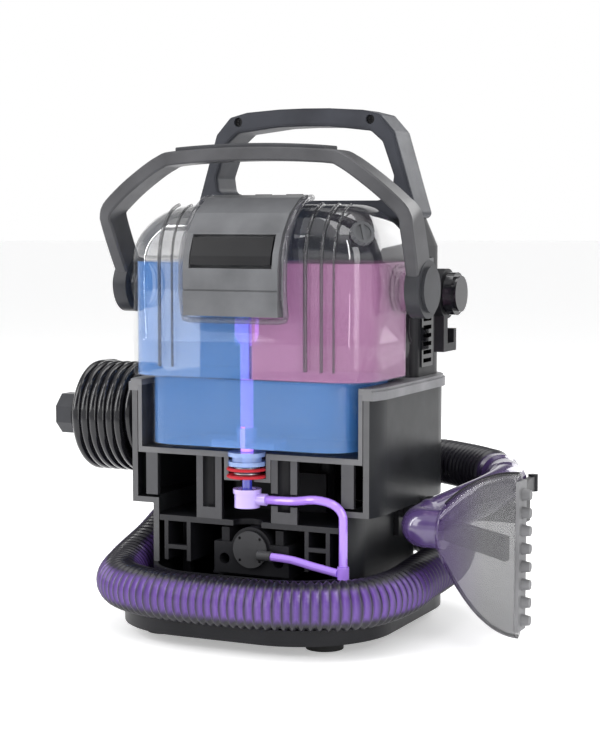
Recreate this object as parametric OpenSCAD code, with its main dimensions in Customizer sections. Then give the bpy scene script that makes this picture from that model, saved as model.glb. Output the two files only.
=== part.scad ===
/* [Base] */
// Width of the base housing
base_w = 192; // [184:1:200]
// Front of the uncut housing, measured from the base centre
base_front = 98; // [96:1:102]
// Rear of the housing, measured from the base centre
base_rear = 100; // [98:1:102]
// Height of the top of the rim
rim_z = 178; // [176:0.5:180]
// Wall thickness of the housing
wall = 4; // [3:0.5:5]
// Depth at which the front of the housing is cut away
cut_y = -60; // [-66:1:-58]

/* [Tank] */
// Width of the tank above the rim
tank_w = 190; // [184:1:192]
// Front face of the tank
tank_front = -72; // [-76:1:-70]
// Rear face of the tank
tank_rear = 29; // [24:1:30]
// Height of the tank's underside
tank_z = 131; // [130.5:0.1:132]
// Height at which the dome starts
dome_z = 262; // [255:1:266]
// Height of the top of the dome
tank_top = 302; // [296:1:304]
// Wall thickness of the tank
tank_wall = 2.5; // [2:0.1:3]

/* [Bail] */
// Distance of the bail's hubs from the middle, to their outer faces
bail_half = 119; // [118:0.5:121]
// Height of the bail's pivot
bail_z = 244; // [240:1:248]
// Depth of the bail's pivot
bail_y = -20; // [-24:1:-18]
// Radius of the pivot pins
pin_r = 8; // [6:0.5:9]

/* [Hose and cord] */
// Outside diameter of the suction hose
hose_d = 34; // [30:1:35]
// Diameter of the power cord
cord_d = 7; // [6:0.5:7.5]

/* [Hidden] */
$fn = 64;
black = [0.05, 0.05, 0.055];
dark = [0.14, 0.14, 0.16];
handle_grey = [0.2, 0.21, 0.24];
cut_grey = [0.62, 0.62, 0.65];
purple = [0.5, 0.38, 0.75];
// The part's origin is the middle of its box, which lies to the right of the base's middle.
origin_x = 10;
gap = 0.3;
pan_reach = 108;
groove_w = 160;
groove_front = -88;
groove_rear = 86;
groove_top = 92;
well_w = 168;
well_z = 130;
valve = [0, -60];
socket_r = 18;
socket_inner = 14.5;
stem_r = 3.5;
run = 0.06;
boss_x = [-30, 28.4];
seam_z = 205;
head_z = 206;
head_r = 8.4;
carrier_r = 7;
grip_z = 340.2;
tower_w = 178;
tower_y = 33;
tower_top = 272;
handle_y = [32, 48, 64];
coil_x = [-156, -100];
coil_c = [-8, 145];
coil_r = [20, 41];
cap_x = -180;
tool_x = 138;
tool_y = -42;
tool_len = 54;
tool_t = 20;
fan_c = [30, 66];

// The hose runs from its outlet behind the base, once round it, and forward to the tool.
hose_route = [[22, 106, 58], [60, 107, 55], [94, 92, 50], [108, 50, 45], [108, 0, 41],
    [106, -45, 37.5], [90, -85, 36], [50, -107, 36], [0, -112, 36], [-50, -107, 36],
    [-88, -84, 36], [-104, -45, 39.5], [-108, 0, 50], [-111, 50, 66], [-102, 98, 82],
    [-60, 118, 94], [-20, 121, 101], [30, 121, 105], [72, 117, 107], [106, 98, 107],
    [136, 72, 107]];
tail_route = [[-152.5, 9, 182], [-151.5, 20, 180.5], [-148, 33, 174.5], [-143, 43, 165], [-138, 48.5, 157],
    [-136, 50, 150]];
// The bail bows forwards between its hubs and its top bar.
bail_half_route = [[-115, -33, 268], [-115.5, -45, 290], [-113, -47, 297], [-104, -48, 305], [-95, -48, 313],
    [-79, -47, 323.5], [-68, -46.5, 331], [-60, -46, 334], [-30, -45, 335.5]];
bail_route = concat([[-114, bail_y, bail_z]], bail_half_route, [[0, -45, 336]],
    [for (i = [len(bail_half_route) - 1 : -1 : 0]) [-bail_half_route[i][0], bail_half_route[i][1],
    bail_half_route[i][2]]], [[114, bail_y, bail_z]]);
// Both water tubes run in front of the cut, down to an elbow on the wall of the pan.
elbow = [75, -64.5];
port_y = -63.2;
upper_route = [[15.2, valve[1], 98], [27, -60.5, 98.2], [38, -61.8, 98.8], [54, -64, 101], [67, elbow[1], 99],
    [74, elbow[1], 93], [elbow[0], elbow[1], 84], [elbow[0], elbow[1], 57]];
lower_route = [[20.2, port_y, 59], [36, port_y, 58], [52, -63.6, 55], [elbow[0] - 4.2, elbow[1], 52]];
tool_route = [[136, 72, 107], [151, 52, 107], [158, 30, 106], [154, 6, 102], [142, -14, 96],
    [128, -27, 89], [121, -36, 85], [124, -42, 84], [tool_x - 6, tool_y, 84], [tool_x + 2, tool_y, 84]];

function unit(v) = v / norm(v);
// Point on a smooth curve through p[0..3], between p[1] and p[2]
function between(p, t) = 0.5 * ((2 * p[1]) + (p[2] - p[0]) * t
    + (2 * p[0] - 5 * p[1] + 4 * p[2] - p[3]) * t * t
    + (3 * p[1] - p[0] - 3 * p[2] + p[3]) * t * t * t);

function nth(r, i) = i < 0 ? 2 * r[0] - r[1]
    : i >= len(r) ? 2 * r[len(r) - 1] - r[len(r) - 2] : r[i];

function smooth(r, k) = concat([for (i = [0 : len(r) - 2], j = [0 : k - 1])
    between([nth(r, i - 1), r[i], r[i + 1], nth(r, i + 2)], j / k)], [r[len(r) - 1]]);

function round_profile(rad, n) = [for (i = [0 : n - 1]) rad * [cos(360 * i / n), sin(360 * i / n)]];
function oval_profile(a, b, n) = [for (i = [0 : n - 1])
    let (c = cos(360 * i / n), s = sin(360 * i / n))
    [a * sign(c) * pow(abs(c), 0.5), b * sign(s) * pow(abs(s), 0.5)]];

// Sweeps a convex profile along points, keeping its first axis square to ref
module sweep(path, profile, ref) {
    n = len(profile);
    m = len(path);
    rings = [for (i = [0 : m - 1])
        let (t = unit(path[min(i + 1, m - 1)] - path[max(i - 1, 0)]),
            side = unit(cross(t, ref)), up = cross(side, t))
        for (q = profile) path[i] + q[0] * side + q[1] * up];
    faces = concat([[for (j = [0 : n - 1]) j]],
        [for (i = [0 : m - 2], j = [0 : n - 1])
            [i * n + j, (i + 1) * n + j, (i + 1) * n + (j + 1) % n, i * n + (j + 1) % n]],
        [[for (j = [n - 1 : -1 : 0]) (m - 1) * n + j]]);
    polyhedron(rings, faces, convexity = 6);
}

module seated() translate([-origin_x, 0, 0]) children();
// Rounded outline centred on x = 0, with front corners rf and rear corners rr
module plan(w, y0, y1, rf, rr) {
    translate([-w / 2, y0 + rf]) square([w, y1 - y0 - rf - rr]);
    translate([-w / 2 + rf, y0]) square([w - 2 * rf, rf + 1]);
    translate([-w / 2 + rr, y1 - rr - 1]) square([w - 2 * rr, rr + 1]);
    for (x = [-1, 1]) {
        translate([x * (w / 2 - rf), y0 + rf]) circle(rf);
        translate([x * (w / 2 - rr), y1 - rr]) circle(rr);
    }
}

module slab(w, y0, y1, rf, rr, z0, z1)
    translate([0, 0, z0]) linear_extrude(z1 - z0) plan(w, y0, y1, rf, rr);

module box(x0, x1, y0, y1, z0, z1)
    translate([x0, y0, z0]) cube([x1 - x0, y1 - y0, z1 - z0]);

module rod_x(x0, x1, y, z, r)
    translate([x0, y, z]) rotate([0, 90, 0]) cylinder(r = r, h = x1 - x0);

module rod_y(x, y0, y1, z, r)
    translate([x, y0, z]) rotate([-90, 0, 0]) cylinder(r = r, h = y1 - y0);

module at_valve(z) translate([valve[0], valve[1], z]) children();
module cut_front() box(-150, 150, -200, cut_y, -1, 400);
module base_pan() seated() color(black) difference() {
    union() {
        slab(200, -pan_reach, pan_reach, 68, 62, 8, 19);
        slab(groove_w, groove_front, groove_rear, 50, 40, 18, 48);
    }
    slab(groove_w - 6, groove_front + 3, groove_rear - 3, 47, 37, 12, 49);
}

module rubber_feet() seated() color(dark)
    for (x = [-62, 62], y = [-66, 70]) translate([x, y, 0]) cylinder(r = 13, h = 8);

module base_housing() seated() color(dark) difference() {
    union() {
        slab(groove_w, groove_front, groove_rear, 50, 40, 48, groove_top);
        slab(base_w, -base_front, base_rear, 60, 40, groove_top - 2, rim_z - 8);
    }
    slab(groove_w - 2 * wall, groove_front + wall, groove_rear - wall, 46, 36, 47, groove_top + 3);
    slab(base_w - 2 * wall, -base_front + wall, base_rear - wall, 56, 36, groove_top + 2, rim_z);
    cut_front();
    // Opening for the hose outlet
    rod_y(22, groove_rear - 10, groove_rear + 5, 66, 12.3);
}

module housing_rim() seated() color(cut_grey) difference() {
    union() {
        slab(base_w + 5, -base_front - 2.5, base_rear + 2.5, 62.5, 42.5, rim_z - 8, rim_z - 2);
        slab(base_w + 2, -base_front - 1, base_rear + 1, 61, 41, rim_z - 2.5, rim_z);
    }
    slab(well_w + 6, -90, 31.2, 32, 32, rim_z - 9, rim_z - 4);
    slab(well_w, -87, 31.2, 29, 29, rim_z - 9, rim_z + 1);
    slab(tower_w - 14, 40, base_rear - 8, 6, 24, rim_z - 9, rim_z + 1);
    cut_front();
}

module tank_well() seated() color(cut_grey) difference() {
    union() {
        slab(well_w + 6, -90, 31, 32, 32, well_z - 4, rim_z - 4);
        at_valve(110) cylinder(r = socket_r, h = well_z - 112);
    }
    slab(well_w, -87, 28.4 + gap, 29, 29, well_z, rim_z);
    at_valve(112.5) cylinder(r = socket_inner, h = 30);
    at_valve(100) cylinder(r = 5.4, h = 30);
    cut_front();
}

module inner_frame() seated() color(dark) difference() {
    union() {
        // Shelf over the pump, and the shelf that carries the fan
        slab(groove_w - 2 * wall - 2 * gap, groove_front + wall + gap, 46, 46, 4, 78, 82);
        slab(176, 40, 94, 4, 27, 141, 145);
        // Ribs and legs
        for (x = [-66, -48, 44, 60]) box(x, x + 3, cut_y, -24, 50, 78);
        for (x = [-62, 56]) {
            box(x, x + 6, -40, -34, 12, 78);
            box(x, x + 6, 40, 46, 12, 141);
        }
        box(-66, -45, cut_y, -56, 58, 61);
        box(44, 63, cut_y, -56, 64, 67);
        box(-36, 36, -6, -2, 82, 110);
    }
    at_valve(70) cylinder(r = 11, h = 20);
    translate([fan_c[0], fan_c[1], 140]) cylinder(r = 12, h = 6);
    cut_front();
}

module screw_bosses() seated() color(cut_grey) difference() {
    union() {
        for (x = boss_x) translate([x, cut_y + 1, 82]) cylinder(r = 10, h = well_z - 86);
        for (x = [-76, 76]) translate([x, cut_y + 2, 96]) cylinder(r = 5, h = well_z - 100);
        for (x = [-30, 30]) translate([x, 10, 82]) cylinder(r = 6, h = well_z - 86);
    }
    for (x = boss_x) translate([x, cut_y + 1, 90]) cylinder(r = 5, h = 60);
    for (x = [-76, 76]) translate([x, cut_y + 2, 102]) cylinder(r = 2, h = 60);
    // Notch for the upper water tube
    rod_x(17, 40, cut_y - 1.2, 98.4, 4.6);
    cut_front();
}

module pump_bracket() seated() color(dark) {
    for (x = [-26, 24]) box(x, x + 4, -54, 24, 12, 42);
    box(-30, 32, -54, 24, 42, 44);
}

module pump_housing() seated() color(dark) difference() {
    union() {
        box(-27, 31, -58, -18, 44, 66);
        rod_y(2, -58, -18, 62, 15.5);
        for (x = [-22, 20]) box(x, x + 6, -56, -30, 66, 76);
    }
    rod_y(2, -59, -17, 62, 9);
    for (x = [-19, 23]) rod_y(x, -59, -40, 54, 4);
}

module pump_head() seated() color(cut_grey) {
    difference() {
        union() {
            rod_y(2, -60, -44, 62, 8.8);
            rod_y(2, -60.5, -58.2, 62, 13);
            rod_x(10, 20, port_y, 59, 3.6);
        }
        for (a = [45 : 90 : 315]) rod_y(2 + 11 * cos(a), -61, -59.3, 62 + 11 * sin(a), 1.1);
        rod_x(11, 21, port_y, 59, 1.9);
    }
}

module pump_motor() seated() color([0.6, 0.6, 0.62]) {
    rod_y(2, -17.8, 30, 62, 14);
    rod_y(2, 30, 33, 62, 6);
    rod_y(2, -40, -17.9, 62, 3);
    for (z = [56, 68]) rod_y(2, 33, 37, z, 1.2);
}

module valve_receiver() seated() color([0.8, 0.76, 0.95]) difference() {
    union() {
        at_valve(92) cylinder(r = 9, h = 12);
        rod_x(7, 15, valve[1], 98, 4.2);
        at_valve(102) cylinder(r = 10, h = 3);
    }
    at_valve(95) cylinder(r = 6.2, h = 20);
    rod_x(5, 16, valve[1], 98, 2.2);
}

module valve_seals() seated() color([0.75, 0.1, 0.12]) for (z = [113, 118]) at_valve(z) difference() {
    union() {
        cylinder(r = 13.6, h = 2);
        translate([0, 0, 0.6]) cylinder(r = 14.3, h = 0.8);
    }
    translate([0, 0, -1]) cylinder(r = z == 113 ? 4.4 : 11.2, h = 4);
}

module valve_spring() seated() color([0.8, 0.8, 0.82]) for (i = [0 : 2])
    at_valve(115.9 + 1.9 * i) rotate_extrude() translate([8.4 - 0.3 * i, 0]) circle(0.9, $fn = 20);

module feed_tube_upper() seated() color(purple)
    sweep(smooth(upper_route, 3), round_profile(3, 12), [0, 1, 0]);

module feed_tube_lower() seated() color(purple)
    sweep(smooth(lower_route, 3), round_profile(2.8, 12), [0, 1, 0]);

module tube_elbow() seated() color(purple)
    translate([elbow[0], elbow[1], 48.1]) cylinder(r = 4, h = 8.7);

module tower_shell() seated() color(dark) difference() {
    union() {
        slab(tower_w, tower_y, base_rear, 6, 30, rim_z, tower_top);
        hull() {
            slab(tower_w, tower_y, base_rear, 6, 30, tower_top - 1, tower_top);
            slab(174, tower_y, 72, 6, 18, 291, 292);
        }
    }
    slab(tower_w - 7, tower_y + 3.5, base_rear - 3.5, 5, 26.5, rim_z - 1, tower_top - 4);
    // Pockets for the power button and the side post, and the window behind the grille
    box(tower_w / 2 - 2, tower_w / 2 + 1, 45, 63, 254, 264);
    box(tower_w / 2 - 5, tower_w / 2 + 1, 48, 60, 256, 262);
    box(tower_w / 2 - 5, tower_w / 2 + 1, 43, 63, 187, 222);
    box(tower_w / 2 - 1.5, tower_w / 2 + 1, 42, 64, 185, 224);
    // Window behind the rear cover
    box(-50, 50, base_rear - 5, base_rear + 1, 190, 250);
}

module rear_cover() seated() color(black) difference() {
    box(-55, 55, base_rear, base_rear + 3, 186, 254);
    for (i = [0 : 5]) box(-40, 40, base_rear - 1, base_rear + 4, 195 + 9 * i, 199 + 9 * i);
}

module vent_grille() seated() color(black) difference() {
    box(tower_w / 2 - 1.5, tower_w / 2 + 1, 42, 64, 185, 224);
    for (i = [0 : 5]) box(tower_w / 2 - 3, tower_w / 2 + 2, 45, 61, 188 + i * 6, 191 + i * 6);
}

handle_outer = [[-85, 296], [-68, 352], [-58, 363], [-46, 366], [-20, 367.7], [0, 368], [20, 367.7],
    [46, 366], [58, 363], [68, 352], [85, 296]];
handle_hole = [[-58, 310], [-65, 315], [-66, 322], [-58, 344], [-51, 350], [-20, 353.6], [0, 354],
    [20, 353.6], [51, 350], [58, 344], [66, 322], [65, 315], [58, 310]];

module handle_outline(inset) difference() {
    offset(4 - inset, $fn = 32) polygon(handle_outer);
    offset(5 + inset, $fn = 32) polygon(handle_hole);
}
// Half of the handle, with a stepped bevel towards its face
module handle_half(y0, y1, face) seated() {
    translate([0, y1, 0]) rotate([90, 0, 0]) linear_extrude(y1 - y0) handle_outline(2);
    for (i = [0 : 3]) {
        near = face < 0 ? y0 + 2 - 2 * sin(30 * i) : y0;
        far = face < 0 ? y1 : y1 - 2 + 2 * sin(30 * i);
        translate([0, far, 0]) rotate([90, 0, 0]) linear_extrude(far - near)
            handle_outline(2 - 2 * cos(30 * i));
    }
}
handle_screw_at = [[-53, 363], [53, 363], [-78, 301], [78, 301]];
module handle_front() color(handle_grey) difference() {
    handle_half(handle_y[0], handle_y[1], -1);
    seated() for (p = handle_screw_at) rod_y(p[0], handle_y[0] - 1, handle_y[0] + 4, p[1], 3.4);
}

module handle_rear() color(handle_grey) handle_half(handle_y[1], handle_y[2], 1);
module handle_screws() seated() color(black) for (p = handle_screw_at) difference() {
    rod_y(p[0], handle_y[0] + 2, handle_y[0] + 4, p[1], 2.8);
    for (a = [0, 90]) translate([p[0], handle_y[0] + 2, p[1]]) rotate([0, a, 0])
        cube([3.6, 2, 0.8], center = true);
}

module vacuum_motor() seated() color([0.55, 0.56, 0.58]) {
    translate([fan_c[0], fan_c[1], 184]) cylinder(r = 21, h = 46);
    translate([fan_c[0], fan_c[1], 230]) cylinder(r = 8, h = 8);
    translate([fan_c[0], fan_c[1], 152]) cylinder(r = 3 - run, h = 32);
}

module fan_housing() seated() color(dark) translate([fan_c[0], fan_c[1], 145]) difference() {
    cylinder(r = 25.5, h = 39);
    translate([0, 0, 2.5]) cylinder(r = 23, h = 31);
    translate([0, 0, -1]) cylinder(r = 10, h = 5);
    translate([0, 0, 30]) cylinder(r = 6, h = 12);
}

module fan_impeller() seated() color([0.7, 0.7, 0.72]) translate([fan_c[0], fan_c[1], 150]) {
    difference() {
        union() {
            cylinder(r = 21, h = 2);
            cylinder(r = 6.5, h = 20);
            for (a = [0 : 40 : 320]) rotate(a) translate([6, -0.8, 1]) cube([14, 1.6, 15]);
        }
        translate([0, 0, -1]) cylinder(r = 3, h = 30);
    }
}

module power_button() seated() color([0.35, 0.36, 0.4])
    box(tower_w / 2 - 0.4, tower_w / 2 + 1.8, 45.5, 62.5, 254.5, 263.5);

module cord_spindle() seated() color(black)
    rod_x(-164, -base_w / 2, coil_c[0], coil_c[1], coil_r[0] - gap);

module spindle_cap() seated() color(dark) translate([cap_x, coil_c[0], coil_c[1]]) rotate([0, 90, 0])
    rotate(22.5) cylinder(r = 16, h = 16, $fn = 8);

module strain_relief() seated() color(black) {
    box(-109, -base_w / 2, 50, 59, 115, 128);
    translate([-103.5, 50, 121.5]) rotate([90, 0, 0]) cylinder(r1 = 6, r2 = 4, h = 24);
}

module power_cord() seated() color(black)
    translate([coil_x[0], coil_c[0], coil_c[1]]) rotate([0, 90, 0]) rotate_extrude()
        translate([coil_r[0], 0]) square([coil_r[1] - coil_r[0], coil_x[1] - coil_x[0]]);

module power_tail() seated() color(black)
    sweep(smooth(tail_route, 2), round_profile(cord_d / 2, 8), [1, 0, 0]);

module power_plug() seated() color(black) translate([-136, 50, 150]) mirror([0, 0, 1]) {
    cylinder(r1 = 4.5, r2 = 7, h = 12);
    translate([-12, -9, 12]) cube([24, 18, 24]);
    for (x = [-6.3, 4.7]) translate([x, -3, 36]) cube([1.6, 6.3, 17]);
    translate([0, 6, 36]) cylinder(r = 2.3, h = 17);
}

module hose_outlet() seated() color(black) difference() {
    union() {
        rod_y(22, groove_rear - 8, groove_rear + 2.2, 66, 12);
        rod_x(2, 21.8, 106, 58, 15);
        translate([4, groove_rear, 43]) cube([17.8, 20, 30]);
    }
    rod_x(8, 23, 106, 58, 12);
}

module hose() seated() color(black)
    sweep(smooth(hose_route, 3), round_profile(hose_d / 2, 12), [0, 0, 1]);

module tool_handle() seated() color([0.3, 0.27, 0.36])
    sweep(smooth(tool_route, 3), round_profile(13.5, 14), [0, 0, 1]);

module spray_trigger() seated() color(dark)
    translate([173.1, 30, 106]) rotate([0, 0, 5]) {
        translate([0, -14, -5]) cube([4, 26, 10]);
        translate([2, 14, -6]) cylinder(r = 3.5, h = 12);
    }
// Side outline of the fan-shaped nozzle, from its neck to its mouth
fan_outline = [[0, 64], [6, 54], [17, 38], [34, 24], [tool_len, 15], [tool_len, 125], [44, 125],
    [26, 119], [11, 107], [2, 96]];

module fan_profile(inset) offset(delta = -inset) polygon(fan_outline);
module nozzle_shell() seated() color([0.35, 0.35, 0.38]) translate([tool_x, tool_y, 0]) difference() {
    union() {
        rotate([90, 0, 0]) translate([0, 0, -tool_t / 2]) linear_extrude(tool_t) fan_profile(0);
        translate([-1, 0, 84]) rotate([0, 90, 0]) cylinder(r = 16, h = 7);
    }
    rotate([90, 0, 0]) translate([0, 0, -tool_t / 2 + 2]) linear_extrude(tool_t - 4) fan_profile(2);
    box(tool_len - 6, tool_len + 1, -tool_t / 2 + 2, tool_t / 2 - 2, 18, 122);
    translate([-8, 0, 84]) rotate([0, 90, 0]) cylinder(r = 13.8, h = 12);
}

module nozzle_duct() seated() color([0.1, 0.1, 0.11]) translate([tool_x, tool_y, 0])
    rotate([90, 0, 0]) translate([0, 0, -4]) linear_extrude(8)
        polygon([[2.2, 77], [2.2, 91], [tool_len - 8, 82], [tool_len - 8, 66]]);

module brush_teeth() seated() color([0.2, 0.2, 0.22]) translate([tool_x + tool_len, tool_y, 0]) {
    box(0, 2.4, -8, 8, 20, 120);
    for (i = [0 : 7]) translate([2.2, 0, 27 + i * 12]) rotate([0, 90, 0])
        cylinder(r1 = 4.2, r2 = 3.2, h = 5.8);
}

module tool_cradle() seated() color(black) difference() {
    union() {
        box(groove_w / 2, 100, 22, 38, 78, 88);
        box(groove_w / 2, groove_w / 2 + 4, 14, 46, 66, 88);
        box(97, 174, 22, 38, 80, 92.2);
        box(169.5, 174, 22, 38, 88, 97);
    }
    rod_y(158, 20, 40, 106, 14.9);
}

module side_post() seated() color(black) {
    rod_x(tower_w / 2, 106, 56, 238, 13.5);
    rod_x(106, 112, 56, 238, 15.5);
    rod_x(112, 115, 56, 238, 13);
}

module side_hook() seated() color(black) difference() {
    union() {
        rod_x(97, 104.5, 56, 238, 18);
        box(97, 104.5, 48, 56, 196, 238);
        box(97, 104.5, 48, 74, 196, 202);
        box(97, 104.5, 69, 74, 196, 212);
    }
    rod_x(96, 106, 56, 238, 13.5 + run);
}

// How far the dome has pulled in from the tank's sides at angle a of its quarter ellipse
function dome_in(a) = 34 * (1 - cos(a));
module tank_layer(inset, z, shrink) {
    w = tank_w - 2 * inset - 2 * shrink;
    slab(w, tank_front + inset + shrink, tank_rear - inset - shrink * 0.55, 28 - inset, 28 - inset, z, z + 0.1);
}
// Outside of the tank less inset, as steps of a quarter ellipse over straight sides
module tank_form(inset) {
    slab(164 - 2 * inset, tank_front + 2 + inset, 26 - inset, 26 - inset, 26 - inset,
        tank_z + inset, rim_z + 2 + inset);
    slab(tank_w - 2 * inset, tank_front + inset, tank_rear - inset, 28 - inset, 28 - inset,
        rim_z + 1 + inset, dome_z);
    for (i = [0 : 4]) hull() for (j = [i, i + 1])
        tank_layer(inset, dome_z - 0.1 + (tank_top - inset - dome_z) * sin(18 * j), dome_in(18 * j));
}

module tank_shell() seated() color([0.85, 0.88, 0.95, 0.3]) difference() {
    union() {
        tank_form(0);
        slab(tank_w + 2, tank_front - 1, tank_rear + 1, 29, 29, seam_z, seam_z + 3);
    }
    tank_form(tank_wall);
    at_valve(tank_z - 1) cylinder(r = 5, h = 10);
}
// Side outline of the wall between the chambers, which ends just inside the dome
wall_side = concat([[tank_front + 4, rim_z + 4], [tank_rear - 4, rim_z + 4]],
    [for (a = [0 : 18 : 54]) [tank_rear - 4 - dome_in(a) * 0.55, dome_z - 1 + 37 * sin(a)]],
    [for (a = [54 : -18 : 0]) [tank_front + 4 + dome_in(a), dome_z - 1 + 37 * sin(a)]]);

module chamber_wall() seated() color([0.8, 0.8, 0.9, 0.4]) difference() {
    union() {
        translate([6, 0, 0]) rotate([90, 0, 90]) linear_extrude(2) polygon(wall_side);
        slab(tank_w - 2 * tank_wall - 0.6, tank_front + 3, tank_rear - 3, 25, 25, rim_z + 3.6, rim_z + 4.01);
    }
    at_valve(rim_z) cylinder(r = 4.8, h = 30);
    at_valve(head_z - 1) cylinder(r = head_r + 0.4, h = 20);
}

module clean_water() seated() color([0.35, 0.55, 0.85, 0.5]) difference() {
    union() {
        slab(158, tank_front + 5, 23, 23, 23, tank_z + 2.8, rim_z + 3.5);
        intersection() {
            slab(184, tank_front + 3, tank_rear - 3, 25, 25, rim_z + 4.2, dome_z);
            box(-100, 5.7, -100, 100, 100, 300);
        }
    }
    at_valve(100) cylinder(r = 5, h = 200);
    at_valve(head_z - 1) cylinder(r = head_r + 0.6, h = 60);
    at_valve(tank_z) cylinder(r = carrier_r + gap, h = 18);
    box(-24 - gap, 24 + gap, -66.5 - gap, -46 + gap, tank_z, tank_z + 8);
}

module formula() seated() color([0.85, 0.5, 0.75, 0.5]) difference() {
    intersection() {
        slab(184, tank_front + 3, tank_rear - 3, 25, 25, rim_z + 4.2, dome_z);
        box(8.3, 100, -100, 100, 100, 300);
    }
    at_valve(head_z - 1) cylinder(r = head_r + 0.6, h = 60);
}

module mixing_tube() seated() color(purple) at_valve(tank_z + 0.2) difference() {
    cylinder(r = 4.5, h = 91);
    translate([0, 0, -1]) cylinder(r = 3.8, h = 100);
}

module mixing_head() seated() color(purple) at_valve(head_z) difference() {
    union() {
        cylinder(r1 = 5.5, r2 = head_r, h = 6);
        translate([0, 0, 6]) cylinder(r = head_r, h = 11);
    }
    translate([0, 0, -1]) cylinder(r = 4.55, h = 20);
    translate([0, 0, 9]) cylinder(r = 6.6, h = 10);
    for (a = [0, 60, 120]) rotate(a) translate([0, 0, 17]) cube([30, 3, 8], center = true);
}

module tank_valve_body() seated() color([0.5, 0.65, 0.9, 0.6]) at_valve(0) difference() {
    union() {
        translate([0, 0, 121.5]) cylinder(r = 13.4, h = tank_z - 121.6);
        translate([0, 0, tank_z + tank_wall + 0.2]) cylinder(r = carrier_r, h = 14);
        translate([-24, -6.5, tank_z + tank_wall + 0.2]) cube([48, 20.5, 4]);
    }
    translate([0, 0, 110]) cylinder(r = stem_r + run, h = tank_z - 110.5);
    translate([0, 0, 124.5]) difference() {
        cylinder(r = 14, h = 3.5);
        translate([0, 0, -1]) cylinder(r = 10.5, h = 6);
    }
    translate([0, 0, tank_z - 1]) cylinder(r = 4.8, h = 20);
}

module valve_stem() seated() color([0.2, 0.25, 0.75]) at_valve(0) {
    translate([0, 0, 104.5]) cylinder(r = stem_r, h = 25);
    translate([0, 0, 98.5]) cylinder(r1 = 3, r2 = 4, h = 6);
}

module trunnions() seated() color([0.8, 0.82, 0.88, 0.5]) for (s = [-1, 1]) scale([s, 1, 1]) {
    rod_x(tank_w / 2 + 0.2, 108, bail_y, bail_z, 16);
    for (x = [97, 100, 103]) rod_x(x, x + 1.4, bail_y, bail_z, 17.5);
    rod_x(108, 117, bail_y, bail_z, pin_r);
}
door_side = [[-77, 226], [-77, 258], [-75.5, 268], [-71, 280], [-62, 292.5], [-48, 302.5], [-37, 305],
    [-37, 308.5], [-50, 306.5], [-67, 296], [-78, 282.5], [-84, 269], [-86, 258], [-86, 226]];
door_pocket = [[-95, 258.5], [-80.4, 258.5], [-74.8, 281.5], [-95, 281.5]];
bar_side = [[-86.5, 261], [-81.2, 261], [-76.6, 279.5], [-80.2, 279.5], [-85, 267]];
module door_slab(w) translate([-w / 2, 0, 0]) rotate([90, 0, 90]) linear_extrude(w) polygon(door_side);
module latch_panel() seated() color([0.42, 0.43, 0.46]) difference() {
    door_slab(72);
    translate([-31.5, 0, 0]) rotate([90, 0, 90]) linear_extrude(63) polygon(door_pocket);
    box(-40, 40, -90, -85.2, 243, 244.2);
}

module latch_bar() seated() color(black) {
    translate([-30.5, 0, 0]) rotate([90, 0, 90]) linear_extrude(61) polygon(bar_side);
    rod_x(-31.3, 31.3, -79, 277.5, 1.3);
}

module hinge_barrels() seated() color(dark) for (x = [-30, -6, 18]) {
    rod_x(x, x + 12, -33, 305.8, 3.2);
    box(x, x + 12, -35, -31, 302, 305.8);
}

module fill_cap() seated() color([0.75, 0.77, 0.8]) translate([84.5, -58, 281.4]) rotate([0, 65, -40])
    difference() {
        union() {
            cylinder(r = 7.8, h = 4.6);
            for (a = [0 : 24 : 336]) rotate(a) translate([7.6, 0, 0.3]) cylinder(r = 0.9, h = 4, $fn = 16);
        }
        translate([0, 0, 3.2]) difference() {
            cylinder(r = 5.8, h = 3);
            cube([14, 2.2, 8], center = true);
        }
    }

module bail_arms() seated() color([0.4, 0.41, 0.43]) difference() {
    sweep(smooth(bail_route, 3), oval_profile(5.5, 12, 16), [0, 1, 0]);
    rod_x(-140, 140, bail_y, bail_z, 20);
    box(-62, 62, -60, -30, grip_z, grip_z + 5);
}

module bail_grip() seated() color(dark) translate([0, -34.5, 0]) rotate([90, 0, 0])
    linear_extrude(21) polygon([[-60, grip_z], [-55, grip_z + 3.4], [55, grip_z + 3.4], [60, grip_z]]);

module bail_hubs() seated() color(dark) for (s = [-1, 1]) scale([s, 1, 1]) difference() {
    union() {
        rod_x(108.4, bail_half, bail_y, bail_z, 20);
        rod_x(bail_half - 0.5, bail_half + 2.5, bail_y, bail_z, 16);
    }
    rod_x(107, 117.4, bail_y, bail_z, pin_r + run);
}

base_pan();
rubber_feet();
base_housing();
housing_rim();
tank_well();
inner_frame();
screw_bosses();
pump_bracket();
pump_housing();
pump_head();
pump_motor();
valve_receiver();
valve_seals();
valve_spring();
feed_tube_upper();
feed_tube_lower();
tube_elbow();
tower_shell();
rear_cover();
vent_grille();
handle_front();
handle_rear();
handle_screws();
vacuum_motor();
fan_housing();
fan_impeller();
power_button();
cord_spindle();
spindle_cap();
strain_relief();
power_cord();
power_tail();
power_plug();
hose_outlet();
hose();
tool_handle();
spray_trigger();
nozzle_shell();
nozzle_duct();
brush_teeth();
tool_cradle();
side_post();
side_hook();
tank_shell();
chamber_wall();
clean_water();
formula();
mixing_tube();
mixing_head();
tank_valve_body();
valve_stem();
trunnions();
latch_panel();
latch_bar();
hinge_barrels();
fill_cap();
bail_arms();
bail_grip();
bail_hubs();
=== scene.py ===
import math

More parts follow.
